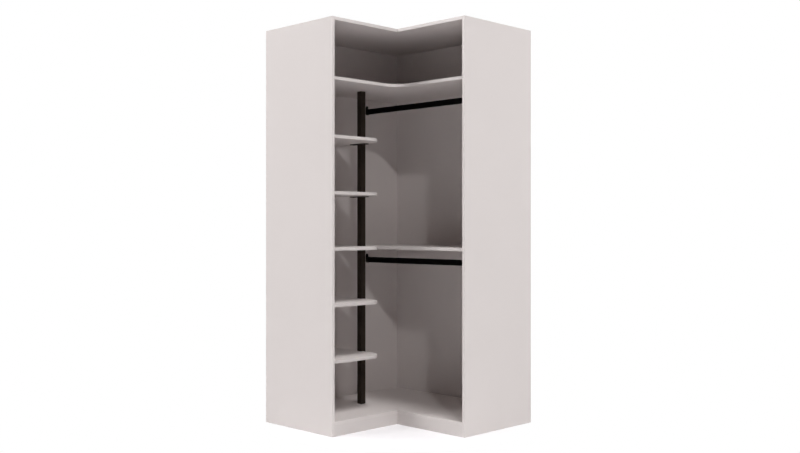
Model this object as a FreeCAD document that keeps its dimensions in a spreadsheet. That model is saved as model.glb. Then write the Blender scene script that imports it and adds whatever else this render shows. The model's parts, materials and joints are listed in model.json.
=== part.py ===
# Corner wardrobe, open at the front: an L-shaped carcass of coated boards that stands in a
# room corner. The left leg holds five shelves with one rounded corner each, which lie between
# the left side panel and a square steel post. The right leg holds one shelf half way up and
# two hanging rails. A shelf with a rounded inner corner runs through both legs near the top.
#
# X runs along the right-hand wall, Y along the left-hand wall towards the room corner, Z up.
# The origin is on the floor, in the middle of the box that the wardrobe fills.
import FreeCAD
import Part
import Sketcher
import collections
import math
import os
import re

# Sizes in millimetres
SIZES = {
    # carcass
    "overall_height": 2260,
    "right_run": 1092,
    "left_run": 1072,
    "leg_depth": 580,
    "board": 18,
    "back_board": 18,
    "plinth_height": 62,
    "edge_round": 0.8,
    # braces under the bottom panel, from the post and from the right side panel
    "brace_from_post": 40,
    "brace_from_side": 250,
    # shelves
    "shelf_board": 18,
    "upper_shelf_depth": 515,
    "upper_shelf_round": 105,
    "left_shelf_depth": 465,
    "left_shelf_round": 115,
    "right_shelf_depth": 515,
    "shelf_gap": 47,
    # post, and the plates on it that carry the left shelves
    "post_size": 35,
    "post_wall": 2,
    "post_from_back": 262,
    "notch_clearance": 0.5,
    "plate_length": 128,
    "plate_width": 35,
    "plate_thickness": 5,
    "plug_length": 25,
    # hanging rails and their end sockets
    "rail_height": 35,
    "rail_width": 15,
    "rail_wall": 1.5,
    "rail_drop": 75,
    "rail_from_back": 272,
    "rail_clearance": 0.3,
    "socket_plate": 3,
    "socket_depth": 14,
    "socket_wall": 2,
    "socket_ear": 17,
    # cam locks with their bolts, and dowels
    "cam_diameter": 15,
    "cam_height": 12.5,
    "cam_recess": 6,
    "cam_recess_depth": 3,
    "cam_distance": 34,
    "bolt_diameter": 6,
    "bolt_depth": 11,
    "bolt_bore": 8,
    "dowel_diameter": 8,
    "dowel_length": 30,
    "dowel_depth": 11,
    "fit_clearance": 0.2,
    "fitting_inset": 70,
    "dowel_offset": 32,
    "back_fitting_inset": 230,
    # shelf pins
    "pin_diameter": 5,
    "pin_depth": 9,
    "pad_length": 12,
    "pad_width": 10,
    "pad_thickness": 6,
    "pin_inset": 55,
    # screws
    "screw_diameter": 3.5,
    "screw_length": 16,
    "screw_head": 7,
    "screw_head_height": 2,
    "plate_screw_inset": 16,
    "post_screw_diameter": 6,
    "post_screw_grip": 20,
    "post_screw_head": 14,
    "post_screw_head_height": 4,
    # holes in the back panels for screws into the wall
    "wall_hole": 6.5,
    "wall_hole_inset": 150,
    "wall_hole_drop": 60,
}
LEFT_SHELVES = 5
RIGHT_SHELF_LEVEL = (LEFT_SHELVES + 1) // 2
UPPER_LEVEL = LEFT_SHELVES + 1

# Planes of the carcass
LEFT = "-right_run / 2"
RIGHT = "right_run / 2"
FRONT = "-left_run / 2"
BACK = "left_run / 2"
LEFT_BACK_FACE = f"({LEFT} + back_board)"
RIGHT_BACK_FACE = f"({BACK} - back_board)"
LEFT_SIDE_FACE = f"({FRONT} + board)"
RIGHT_SIDE_FACE = f"({RIGHT} - board)"
LEFT_LEG_FRONT = f"({LEFT} + leg_depth)"
RIGHT_LEG_FRONT = f"({BACK} - leg_depth)"
TOP_UNDERSIDE = "(overall_height - board)"
FLOOR_TOP = "(plinth_height + board)"

# Room inside the carcass, and the clear height that all the levels share alike
INNER_RUN_X = "(right_run - back_board - board)"
INNER_RUN_Y = "(left_run - back_board - board)"
INNER_LEG = "(leg_depth - back_board)"
LEFT_OPENING = "(left_run - board - leg_depth)"
RIGHT_OPENING = "(right_run - board - leg_depth)"
CLEAR_HEIGHT = f"(({TOP_UNDERSIDE} - {FLOOR_TOP} - {UPPER_LEVEL} * shelf_board) / {UPPER_LEVEL + 1})"

# The left shelves end a gap before the right shelf's front, and the post stands on that line
SHELF_END = f"({RIGHT_BACK_FACE} - right_shelf_depth - shelf_gap)"
LEFT_SHELF_LENGTH = f"({SHELF_END} - {LEFT_SIDE_FACE})"
POST_X = f"({LEFT_BACK_FACE} + post_from_back)"
POST_Y = SHELF_END
RAIL_Y = f"({RIGHT_BACK_FACE} - rail_from_back)"

# Turns that lay a bar, which is made upright, along each axis
TURNS = {
    "+X": FreeCAD.Rotation(FreeCAD.Vector(0, 1, 0), 90),
    "-X": FreeCAD.Rotation(FreeCAD.Vector(0, 1, 0), -90),
    "+Y": FreeCAD.Rotation(FreeCAD.Vector(1, 0, 0), -90),
    "-Y": FreeCAD.Rotation(FreeCAD.Vector(1, 0, 0), 90),
    "+Z": FreeCAD.Rotation(),
    "-Z": FreeCAD.Rotation(FreeCAD.Vector(1, 0, 0), 180),
}
NEARLY_EQUAL = 0.001
SIZE_NAME = re.compile("[a-z_]+")

doc = FreeCAD.newDocument("CornerWardrobe")
sheet = doc.addObject("Spreadsheet::Sheet", "Sizes")
for row, (alias, size) in enumerate(SIZES.items(), start=1):
    sheet.set(f"A{row}", alias)
    sheet.set(f"B{row}", str(size))
    sheet.setAlias(f"B{row}", alias)
doc.recompute()

nodes = {}
cutters = collections.defaultdict(list)
groups = collections.defaultdict(list)


# Expressions of sizes

def tied(expression):
    """The expression with the sheet's name before each size in it."""
    return SIZE_NAME.sub(r"Sizes.\g<0>", expression)


def value(expression):
    """What an expression comes to, in millimetres."""
    numbers = SIZE_NAME.sub(lambda word: str(sheet.get(word.group())), expression)
    return FreeCAD.Units.Quantity(numbers).Value


def opposite(axis):
    """The axis that points the other way."""
    return {"+": "-", "-": "+"}[axis[0]] + axis[1]


def along(point, axis, distance):
    """A point moved by a distance along an axis."""
    moved = list(point)
    place = "XYZ".index(axis[1])
    moved[place] = f"{point[place]} {axis[0]} ({distance})"
    return tuple(moved)


def underside(level):
    """Height of the underside of the shelf at a level, counted from the bottom panel."""
    return f"({FLOOR_TOP} + {level} * {CLEAR_HEIGHT} + {level - 1} * shelf_board)"


# Points on the inner faces of the four walls

def on_left_side(inset, height):
    """A point on the left side panel, at a distance from the left back panel."""
    return (f"{LEFT_BACK_FACE} + ({inset})", LEFT_SIDE_FACE, height)


def on_right_side(inset, height):
    """A point on the right side panel, at a distance from the right back panel."""
    return (RIGHT_SIDE_FACE, f"{RIGHT_BACK_FACE} - ({inset})", height)


def on_left_back(inset, height):
    """A point on the left back panel, at a distance from the left side panel."""
    return (LEFT_BACK_FACE, f"{LEFT_SIDE_FACE} + ({inset})", height)


def on_right_back(inset, height):
    """A point on the right back panel, at a distance from the right side panel."""
    return (f"{RIGHT_SIDE_FACE} - ({inset})", RIGHT_BACK_FACE, height)


# For each leg: points on its back panel, the way from there to its front, and its width
LEGS = (("left", on_left_back, "+X", LEFT_OPENING), ("right", on_right_back, "-Y", RIGHT_OPENING))


# Basic solids

def put(thing, point):
    """Ties a thing's place to a point."""
    for name, expression in zip("xyz", point):
        thing.setExpression(f"Placement.Base.{name}", tied(expression))


def block(name, size, corner):
    """A box from its sizes along X, Y and Z and its lowest corner."""
    box = doc.addObject("Part::Box", name)
    for side, expression in zip(("Length", "Width", "Height"), size):
        box.setExpression(side, tied(expression))
    put(box, corner)
    return box


def rod(name, diameter, length, start, axis):
    """A round bar that starts at a point and runs along an axis."""
    bar = doc.addObject("Part::Cylinder", name)
    bar.Placement = FreeCAD.Placement(FreeCAD.Vector(), TURNS[axis])
    bar.setExpression("Radius", tied(f"({diameter}) / 2"))
    bar.setExpression("Height", tied(length))
    put(bar, start)
    return bar


def fused(name, shapes):
    """Several solids joined to one."""
    whole = doc.addObject("Part::MultiFuse", name)
    whole.Shapes = shapes
    whole.Refine = True
    return whole


def pierced(name, base, tools):
    """A solid with tools cut out of it."""
    bundle = doc.addObject("Part::Compound", name + "_tools")
    bundle.Links = tools
    rest = doc.addObject("Part::Cut", name)
    rest.Base = base
    rest.Tool = bundle
    return rest


def oval_bar(name, width, height, length, centre, axis):
    """A bar along X with flat sides and round top and bottom."""
    rise = f"(({height}) - ({width})) / 2"
    x, y, z = centre
    start = x if axis == "+X" else f"{x} - ({length})"
    corner = (start, f"{y} - ({width}) / 2", f"{z} - {rise}")
    web = block(name + "_web", (length, width, f"2 * {rise}"), corner)
    low = rod(name + "_low", width, length, along(centre, "-Z", rise), axis)
    high = rod(name + "_high", width, length, along(centre, "+Z", rise), axis)
    return fused(name, [web, low, high])


def keep(label, thing):
    """Makes a thing the sub-part of that name."""
    thing.Label = label
    nodes[label] = thing


def gather(label, things):
    """Makes loose solids one sub-part, as a bag of like fasteners."""
    bag = doc.addObject("Part::Compound", label + "_bag")
    bag.Links = things
    keep(label, bag)


# Boards

def outline(body, corners, rounded=None, radius=None):
    """A closed outline of level and upright lines in a body's XY plane, from its own origin."""
    sketch = body.newObject("Sketcher::SketchObject", body.Name + "_outline")
    plane = [feature for feature in body.Origin.OriginFeatures if feature.Role == "XY_Plane"][0]
    sketch.AttachmentSupport = [(plane, "")]
    sketch.MapMode = "FlatFace"
    points = [FreeCAD.Vector(value(x), value(y), 0) for x, y in corners]
    following = points[1:] + points[:1]
    upright = [abs(start.x - end.x) < NEARLY_EQUAL for start, end in zip(points, following)]
    reach = value(radius) if radius else 0
    lines = []
    for index, (start, end) in enumerate(zip(points, following)):
        way = (end - start).normalize()
        first = start + way * reach if index == rounded else start
        last = end - way * reach if index + 1 == rounded else end
        lines.append(sketch.addGeometry(Part.LineSegment(first, last), False))
    sketch.addConstraint(Sketcher.Constraint("Coincident", lines[0], 1, -1, 1))
    for index, line in enumerate(lines):
        sketch.addConstraint(Sketcher.Constraint("Vertical" if upright[index] else "Horizontal", line))
        if index + 1 != rounded:
            joined = lines[(index + 1) % len(lines)]
            sketch.addConstraint(Sketcher.Constraint("Coincident", line, 2, joined, 1))
    for index in range(1, len(lines) - 1):
        kind, place = ("DistanceX", 0) if upright[index] else ("DistanceY", 1)
        end = 2 if index == rounded else 1
        tie = sketch.addConstraint(Sketcher.Constraint(kind, -1, 1, lines[index], end, points[index][place]))
        sketch.setExpression(f"Constraints[{tie}]", tied(corners[index][place]))
    if rounded:
        round_corner(sketch, points, lines, rounded, radius)
    return sketch


def round_corner(sketch, points, lines, index, radius):
    """An arc between the two lines that leave a corner open."""
    back = (points[index - 1] - points[index]).normalize()
    on = (points[index + 1] - points[index]).normalize()
    reach = value(radius)
    centre = points[index] + (back + on) * reach
    sticks_out = on.cross(back).z > 0
    first = on if sticks_out else back
    start = math.atan2(-first.y, -first.x)
    circle = Part.Circle(centre, FreeCAD.Vector(0, 0, 1), reach)
    arc = sketch.addGeometry(Part.ArcOfCircle(circle, start, start + math.pi / 2), False)
    near, far = (1, 2) if sticks_out else (2, 1)
    sketch.addConstraint(Sketcher.Constraint("Tangent", lines[index - 1], 2, arc, near))
    sketch.addConstraint(Sketcher.Constraint("Tangent", lines[index], 1, arc, far))
    tie = sketch.addConstraint(Sketcher.Constraint("Radius", arc, reach))
    sketch.setExpression(f"Constraints[{tie}]", tied(radius))


def board(name, corner, corners, height, rounded=None, radius=None):
    """A board from its outline seen from above, with all its edges eased."""
    body = doc.addObject("PartDesign::Body", name + "_board")
    pad = body.newObject("PartDesign::Pad", name + "_pad")
    pad.Profile = outline(body, corners, rounded, radius)
    pad.setExpression("Length", tied(height))
    ease = body.newObject("PartDesign::Fillet", name + "_ease")
    ease.Base = (pad, ["Edge1"])
    ease.UseAllEdges = True
    ease.setExpression("Radius", tied("edge_round"))
    put(body, corner)
    nodes[name] = body


def straight_board(name, corner, size):
    """A plain rectangular board from its sizes along X, Y and Z."""
    x, y, z = size
    board(name, corner, (("0", "0"), (x, "0"), (x, y), ("0", y)), z)


def corner_board(name, corner, run, leg, thickness, radius=None):
    """An L-shaped board from its two outer runs and the depth of its legs."""
    run_x, run_y = run
    inner = f"{run_y} - {leg}"
    corners = (("0", "0"), (leg, "0"), (leg, inner), (run_x, inner), (run_x, run_y), ("0", run_y))
    board(name, corner, corners, thickness, 2 if radius else None, radius)


# Fittings between boards

def bore(name, diameter, depth, mouth, axis):
    """A round hole for a board, from its mouth inwards."""
    cutters[name].append(rod(name + "_bore", diameter, depth, mouth, axis))


def cam_joint(group, partner, carrier, thickness, point, inward, face):
    """A bolt in the partner's face, and the cam lock in the carrier that draws it in."""
    outward = opposite(inward)
    bolt_end = along(point, outward, "bolt_depth")
    bolt_length = "bolt_depth + cam_distance - fit_clearance"
    bolt = rod(group + "_bolt", "bolt_diameter", bolt_length, bolt_end, inward)
    groups[group + "_cam_bolts"].append(bolt)
    bore(partner, "bolt_diameter + fit_clearance", "bolt_depth + fit_clearance", point, outward)
    bore(carrier, "bolt_bore", "cam_distance", point, inward)
    centre = along(point, inward, "cam_distance")
    mouth = along(centre, face, f"{thickness} / 2")
    deeper = opposite(face)
    bore(carrier, "cam_diameter + fit_clearance", "cam_height + fit_clearance", mouth, deeper)
    drum = rod(group + "_drum", "cam_diameter", "cam_height", mouth, deeper)
    slot = rod(group + "_slot", "bolt_bore", "cam_diameter", centre, outward)
    recess = rod(group + "_recess", "cam_recess", "cam_recess_depth", mouth, deeper)
    groups[group + "_cam_locks"].append(pierced(group + "_lock", drum, [slot, recess]))


def dowel_joint(group, partner, carrier, point, inward):
    """A wooden dowel that goes into the partner's face and the carrier's edge."""
    outward = opposite(inward)
    start = along(point, outward, "dowel_depth")
    groups[group + "_dowels"].append(rod(group + "_dowel", "dowel_diameter", "dowel_length", start, inward))
    hole = "dowel_diameter + fit_clearance"
    bore(partner, hole, "dowel_depth + fit_clearance", point, outward)
    bore(carrier, hole, "dowel_length - dowel_depth + fit_clearance", point, inward)


def side_joints(name, thickness, bottom, depth, face):
    """Fixes both ends of a level board to the side panels, near its back and near its front."""
    middle = f"{bottom} + {thickness} / 2"
    for inset, step in (("fitting_inset", "+"), (f"{depth} - fitting_inset", "-")):
        beside = f"{inset} {step} dowel_offset"
        for panel, axis, on_panel in (("left_side_panel", "+Y", on_left_side),
                                      ("right_side_panel", "-X", on_right_side)):
            cam_joint(name, panel, name, thickness, on_panel(inset, middle), axis, face)
            dowel_joint(name, panel, name, on_panel(beside, middle), axis)


def screw(name, diameter, length, head, head_height, seat, axis):
    """A screw whose head lies on a seat and whose shank runs along an axis."""
    shank = rod(name + "_shank", diameter, length, seat, axis)
    cap = rod(name + "_head", head, head_height, seat, opposite(axis))
    return fused(name, [shank, cap])


def small_screw(name, seat, axis):
    """One of the like screws that hold the rail sockets and the shelf plates."""
    return screw(name, "screw_diameter", "screw_length", "screw_head", "screw_head_height", seat, axis)


def shelf_pin(group, panel, point, axis):
    """A pin in a panel's face with a flat pad, whose top is at the point's height, under a shelf."""
    across = "Y" if axis[1] == "X" else "X"
    size = {axis[1]: "pad_length", across: "pad_width", "Z": "pad_thickness"}
    middle = along(point, "-Z", "pad_thickness / 2")
    corner = along(along(point, "-Z", "pad_thickness"), "-" + across, "pad_width / 2")
    if axis[0] == "-":
        corner = along(corner, axis, "pad_length")
    pad = block(group + "_pad", [size[name] for name in "XYZ"], corner)
    stem_end = along(middle, opposite(axis), "pin_depth")
    stem = rod(group + "_stem", "pin_diameter", "pin_depth", stem_end, axis)
    groups[group].append(fused(group + "_pin", [pad, stem]))
    bore(panel, "pin_diameter + fit_clearance", "pin_depth + fit_clearance", middle, opposite(axis))


# Carcass

def make_walls():
    """The two side panels, which reach the floor and the top, and the two back panels between them."""
    straight_board("left_side_panel", (LEFT, FRONT, "0"), ("leg_depth", "board", "overall_height"))
    straight_board("right_side_panel", (RIGHT_SIDE_FACE, RIGHT_LEG_FRONT, "0"),
                   ("board", "leg_depth", "overall_height"))
    straight_board("left_back_panel", (LEFT, LEFT_SIDE_FACE, "0"),
                   ("back_board", "left_run - board", TOP_UNDERSIDE))
    straight_board("right_back_panel", (LEFT_BACK_FACE, RIGHT_BACK_FACE, "0"),
                   (INNER_RUN_X, "back_board", TOP_UNDERSIDE))


def make_top_and_bottom():
    """The top panel over the back panels, and the bottom panel on its plinth and braces."""
    corner_board("top_panel", (LEFT, LEFT_SIDE_FACE, TOP_UNDERSIDE),
                 ("(right_run - board)", "(left_run - board)"), "leg_depth", "board")
    corner_board("bottom_panel", (LEFT_BACK_FACE, LEFT_SIDE_FACE, "plinth_height"),
                 (INNER_RUN_X, INNER_RUN_Y), INNER_LEG, "board")
    straight_board("left_plinth", (f"{LEFT_LEG_FRONT} - board", LEFT_SIDE_FACE, "0"),
                   ("board", f"{LEFT_OPENING} + board", "plinth_height"))
    straight_board("right_plinth", (LEFT_LEG_FRONT, RIGHT_LEG_FRONT, "0"),
                   (RIGHT_OPENING, "board", "plinth_height"))
    brace = f"{INNER_LEG} - board"
    straight_board("left_plinth_brace", (LEFT_BACK_FACE, f"{POST_Y} - brace_from_post - board", "0"),
                   (brace, "board", "plinth_height"))
    straight_board("right_plinth_brace",
                   (f"{RIGHT_SIDE_FACE} - brace_from_side", f"{RIGHT_LEG_FRONT} + board", "0"),
                   ("board", brace, "plinth_height"))


def join_walls():
    """Cam locks in the back panels' rear faces, at three heights of each upright seam."""
    left_middle = f"{LEFT} + back_board / 2"
    right_middle = f"{BACK} - back_board / 2"
    for height in ("back_fitting_inset", "overall_height / 2", "overall_height - back_fitting_inset"):
        for partner, carrier, point, inward, face in (
                ("left_side_panel", "left_back_panel", (left_middle, LEFT_SIDE_FACE), "+Y", "-X"),
                ("right_side_panel", "right_back_panel", (RIGHT_SIDE_FACE, right_middle), "-X", "+Y"),
                ("left_back_panel", "right_back_panel", (LEFT_BACK_FACE, right_middle), "+X", "+Y")):
            cam_joint("back_panel", partner, carrier, "back_board", (*point, height), inward, face)


def join_top_and_bottom():
    """Cam locks and dowels at the ends of the top and bottom, dowels at their backs and in the plinth."""
    side_joints("top_panel", "board", TOP_UNDERSIDE, INNER_LEG, "+Z")
    side_joints("bottom_panel", "board", "plinth_height", INNER_LEG, "-Z")
    middle = "plinth_height + board / 2"
    for leg, on_back, front, opening in LEGS:
        back = f"{leg}_back_panel"
        for inset in ("fitting_inset", opening):
            top_seat = along(on_back(inset, TOP_UNDERSIDE), opposite(front), "back_board / 2")
            dowel_joint("back_panel", "top_panel", back, top_seat, "-Z")
            dowel_joint("bottom_panel", back, "bottom_panel", on_back(inset, middle), front)
            beside = on_back(f"{inset} - dowel_offset", "plinth_height")
            plinth_seat = along(beside, front, f"{INNER_LEG} - board / 2")
            dowel_joint("plinth", "bottom_panel", f"{leg}_plinth", plinth_seat, "-Z")


def drill_wall_holes():
    """Two holes right through each back panel, near the top, for screws into the wall."""
    height = f"{TOP_UNDERSIDE} - wall_hole_drop"
    for inset in ("wall_hole_inset", f"{INNER_RUN_Y} - wall_hole_inset"):
        bore("left_back_panel", "wall_hole", "back_board", on_left_back(inset, height), "-X")
    for inset in ("wall_hole_inset", f"{INNER_RUN_X} - wall_hole_inset"):
        bore("right_back_panel", "wall_hole", "back_board", on_right_back(inset, height), "+Y")


# Shelves

def make_upper_shelf():
    """The shelf through both legs, with a rounded inner corner."""
    bottom = underside(UPPER_LEVEL)
    corner_board("upper_shelf", (LEFT_BACK_FACE, LEFT_SIDE_FACE, bottom), (INNER_RUN_X, INNER_RUN_Y),
                 "upper_shelf_depth", "shelf_board", "upper_shelf_round")
    side_joints("upper_shelf", "shelf_board", bottom, "upper_shelf_depth", "-Z")
    middle = f"{bottom} + shelf_board / 2"
    for leg, on_back, front, opening in LEGS:
        dowel_joint("upper_shelf", f"{leg}_back_panel", "upper_shelf", on_back(opening, middle), front)


def make_left_shelves():
    """Five shelves, notched for the post, each on four pins and on a plate of the post."""
    notch = "(post_size + 2 * notch_clearance)"
    depth = "left_shelf_depth"
    for level in range(1, LEFT_SHELVES + 1):
        name = f"left_shelf_{level}"
        bottom = underside(level)
        corners = (("0", "0"), (depth, "0"), (depth, LEFT_SHELF_LENGTH), ("0", LEFT_SHELF_LENGTH))
        board(name, (LEFT_BACK_FACE, LEFT_SIDE_FACE, bottom), corners, "shelf_board", 2, "left_shelf_round")
        notch_corner = (f"{POST_X} - {notch} / 2", f"{POST_Y} - {notch} / 2", bottom)
        cutters[name].append(block(name + "_notch", (notch, notch, "shelf_board"), notch_corner))
        for inset in ("pin_inset", f"{depth} - pin_inset"):
            shelf_pin("left_shelf_pins", "left_side_panel", on_left_side(inset, bottom), "+Y")
        for inset in ("pin_inset", f"{LEFT_SHELF_LENGTH} - pin_inset"):
            shelf_pin("left_shelf_pins", "left_back_panel", on_left_back(inset, bottom), "+X")


def make_right_shelf():
    """The shelf half way up the right leg, on pins in three walls."""
    bottom = underside(RIGHT_SHELF_LEVEL)
    depth = "right_shelf_depth"
    straight_board("right_shelf", (LEFT_BACK_FACE, f"{RIGHT_BACK_FACE} - {depth}", bottom),
                   (INNER_RUN_X, depth, "shelf_board"))
    for inset in ("pin_inset", f"{depth} - pin_inset"):
        shelf_pin("right_shelf_pins", "right_side_panel", on_right_side(inset, bottom), "-X")
        shelf_pin("right_shelf_pins", "left_back_panel",
                  on_left_back(f"{INNER_RUN_Y} - ({inset})", bottom), "+X")
    for inset in ("leg_depth / 2", f"{INNER_RUN_X} - leg_depth / 2"):
        shelf_pin("right_shelf_pins", "right_back_panel", on_right_back(inset, bottom), "-Y")


# Post

def make_post():
    """A square tube from the bottom panel to the upper shelf."""
    bore_size = "(post_size - 2 * post_wall)"
    height = f"{underside(UPPER_LEVEL)} - {FLOOR_TOP}"
    tube = block("post_tube", ("post_size", "post_size", height),
                 (f"{POST_X} - post_size / 2", f"{POST_Y} - post_size / 2", FLOOR_TOP))
    hollow = block("post_hollow", (bore_size, bore_size, height),
                   (f"{POST_X} - {bore_size} / 2", f"{POST_Y} - {bore_size} / 2", FLOOR_TOP))
    keep("post", pierced("post_cut", tube, [hollow]))


def make_post_ends():
    """A plug in each end of the post, held by a screw through the board that the end stands on."""
    top = underside(UPPER_LEVEL)
    plug = "(post_size - 2 * post_wall - fit_clearance)"
    hole = "post_screw_diameter + fit_clearance"
    top_seat = f"{top} + shelf_board"
    for label, panel, thickness, start, seat_height, axis in (
            ("post_bottom_plug", "bottom_panel", "board", FLOOR_TOP, "plinth_height", "+Z"),
            ("post_top_plug", "upper_shelf", "shelf_board", f"{top} - plug_length", top_seat, "-Z")):
        blank = block(label + "_blank", (plug, plug, "plug_length"),
                      (f"{POST_X} - {plug} / 2", f"{POST_Y} - {plug} / 2", start))
        core = rod(label + "_core", hole, "plug_length", (POST_X, POST_Y, start), "+Z")
        keep(label, pierced(label + "_cut", blank, [core]))
        seat = (POST_X, POST_Y, seat_height)
        bore(panel, hole, thickness, seat, axis)
        groups["post_screws"].append(
            screw(label + "_screw", "post_screw_diameter", f"{thickness} + post_screw_grip",
                  "post_screw_head", "post_screw_head_height", seat, axis))


def make_shelf_plates():
    """A steel plate round the post under each left shelf, with two screws up into the shelf."""
    hole = "screw_diameter + fit_clearance"
    for level in range(1, LEFT_SHELVES + 1):
        name = f"shelf_plate_{level}"
        bottom = f"{underside(level)} - plate_thickness"
        blank = block(name + "_blank", ("plate_length", "plate_width", "plate_thickness"),
                      (f"{POST_X} - plate_length / 2", f"{POST_Y} - plate_width", bottom))
        fork = block(name + "_fork", ("post_size", "post_size", "plate_thickness"),
                     (f"{POST_X} - post_size / 2", f"{POST_Y} - post_size / 2", bottom))
        tools = [fork]
        for axis in ("-X", "+X"):
            middle = (POST_X, f"{POST_Y} - plate_width / 2", bottom)
            seat = along(middle, axis, "plate_length / 2 - plate_screw_inset")
            tools.append(rod(name + "_hole", hole, "plate_thickness", seat, "+Z"))
            bore(f"left_shelf_{level}", hole, "screw_length - plate_thickness + fit_clearance",
                 along(seat, "+Z", "plate_thickness"), "+Z")
            groups["shelf_plate_screws"].append(small_screw(name + "_screw", seat, "+Z"))
        keep(name, pierced(name + "_cut", blank, tools))


# Hanging rails

def make_rail(name, level):
    """An oval tube across the right leg under a shelf, with a socket on each wall."""
    height = f"{underside(level)} - rail_drop"
    length = f"({INNER_RUN_X} - 2 * (socket_plate + rail_clearance))"
    start = (f"{LEFT_BACK_FACE} + socket_plate + rail_clearance", RAIL_Y, height)
    skin = oval_bar(name + "_skin", "rail_width", "rail_height", length, start, "+X")
    hollow = oval_bar(name + "_hollow", "rail_width - 2 * rail_wall", "rail_height - 2 * rail_wall",
                      length, start, "+X")
    keep(name, pierced(name + "_cut", skin, [hollow]))
    for side, panel, wall, axis in (("left", "left_back_panel", LEFT_BACK_FACE, "+X"),
                                    ("right", "right_side_panel", RIGHT_SIDE_FACE, "-X")):
        make_rail_socket(f"{name}_{side}_socket", panel, (wall, RAIL_Y, height), axis)


def make_rail_socket(name, panel, wall, axis):
    """A screwed plate with an open cradle that the end of a rail is dropped into."""
    room_wide = "(rail_width + 2 * rail_clearance)"
    room_tall = "(rail_height + 2 * rail_clearance)"
    wide = f"({room_wide} + 2 * socket_wall)"
    tall = f"({room_tall} + 2 * socket_wall)"
    face = along(wall, axis, "socket_plate")
    plate_middle = along(wall, "+Z", "socket_ear / 2")
    plate = oval_bar(name + "_plate", wide, f"{tall} + socket_ear", "socket_plate", plate_middle, axis)
    collar = oval_bar(name + "_collar", wide, tall, "socket_depth", face, axis)
    room = oval_bar(name + "_room", room_wide, room_tall, "socket_depth", face, axis)
    mouth_corner = along(face, "-Y", f"{room_wide} / 2")
    if axis == "-X":
        mouth_corner = along(mouth_corner, axis, "socket_depth")
    mouth = block(name + "_mouth", ("socket_depth", room_wide, tall), mouth_corner)
    cradle = pierced(name + "_cradle", collar, [room, mouth])
    hole = "screw_diameter + fit_clearance"
    deeper = opposite(axis)
    tools = []
    for seat in (face, along(face, "+Z", f"{tall} / 2 + socket_ear - {wide} / 2")):
        tools.append(rod(name + "_hole", hole, "socket_plate", seat, deeper))
        bore(panel, hole, "screw_length - socket_plate + fit_clearance",
             along(seat, deeper, "socket_plate"), deeper)
        groups["rail_screws"].append(small_screw(name + "_screw", seat, deeper))
    keep(name, pierced(name + "_cut", fused(name + "_whole", [plate, cradle]), tools))


# Assembly

def finish_boards():
    """Drills and notches the boards, and names them."""
    for name, thing in list(nodes.items()):
        if cutters[name]:
            thing = pierced(name + "_drilled", thing, cutters[name])
        keep(name, thing)


def check_document():
    """Stops if any step failed or any sub-part isn't sound."""
    for thing in doc.Objects:
        if "Invalid" in thing.State or "Error" in thing.State:
            raise RuntimeError(f"{thing.Label} failed: {thing.State}")
    for name, thing in nodes.items():
        if thing.Shape.isNull() or not thing.Shape.isValid() or not thing.Shape.Solids:
            raise RuntimeError(f"{name} has no sound solid")


make_walls()
make_top_and_bottom()
join_walls()
join_top_and_bottom()
drill_wall_holes()
make_upper_shelf()
make_left_shelves()
make_right_shelf()
make_post()
make_post_ends()
make_shelf_plates()
make_rail("upper_rail", UPPER_LEVEL)
make_rail("lower_rail", RIGHT_SHELF_LEVEL)
for group, fittings in groups.items():
    gather(group, fittings)
finish_boards()
doc.recompute()
check_document()

os.makedirs("parts", exist_ok=True)
for name, thing in nodes.items():
    thing.Shape.exportStep(f"parts/{name}.step")
    print(name, len(thing.Shape.Solids), "solids", round(thing.Shape.Volume), "mm3")
print(len(nodes), "sub-parts")
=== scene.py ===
# %% [markdown]
# # Open corner wardrobe
# The wardrobe stands in a room corner: two legs of coated boards, shelves and a steel post in the
# left leg, hanging rails in the right one. The construction is finished and packed before this file
# starts, so the lesson is about dressing it: finishes for every board and fitting, and the small
# pieces that repeat. We begin by loading the construction as a fixed frame.

# %% Frame
import bmesh
import bpy
import json
import math
from mathutils import Matrix, Vector


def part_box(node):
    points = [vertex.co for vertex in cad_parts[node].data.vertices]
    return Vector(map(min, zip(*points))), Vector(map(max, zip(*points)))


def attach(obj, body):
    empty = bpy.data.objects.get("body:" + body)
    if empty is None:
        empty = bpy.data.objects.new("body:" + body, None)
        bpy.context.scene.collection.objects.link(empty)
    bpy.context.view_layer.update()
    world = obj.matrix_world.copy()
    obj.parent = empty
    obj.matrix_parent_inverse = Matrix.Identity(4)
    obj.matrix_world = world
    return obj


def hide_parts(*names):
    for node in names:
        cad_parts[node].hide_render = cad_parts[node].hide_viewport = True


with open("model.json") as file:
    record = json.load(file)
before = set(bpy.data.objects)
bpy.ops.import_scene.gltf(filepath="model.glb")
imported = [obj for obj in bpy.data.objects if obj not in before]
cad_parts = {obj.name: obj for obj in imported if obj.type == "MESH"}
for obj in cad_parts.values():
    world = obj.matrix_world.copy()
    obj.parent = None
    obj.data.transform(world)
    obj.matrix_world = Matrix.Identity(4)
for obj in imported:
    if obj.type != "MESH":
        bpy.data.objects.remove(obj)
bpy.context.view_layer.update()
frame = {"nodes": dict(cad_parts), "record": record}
nodes = frame["nodes"]
slot_of = {row["node"]: row["material_slot"] for row in frame["record"]["subparts"]}
scene = bpy.context.scene

# %% [markdown]
# ## Camera
# The picture was taken at half height, level, and looks along the diagonal between the two legs. A
# level camera keeps the upright edges upright. The focal length is given in pixels of the picture's
# width, because that is how it was worked out from the edges; the lens follows from the sensor.

# %% Camera
IMAGE_WIDTH = 800
FOCAL_PIXELS = 969.05
CAMERA_PLACE = Vector((3.956, -3.960, 1.1303))
CAMERA_TURN = 44.87
QUARTER_TURN = math.radians(90)

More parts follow.
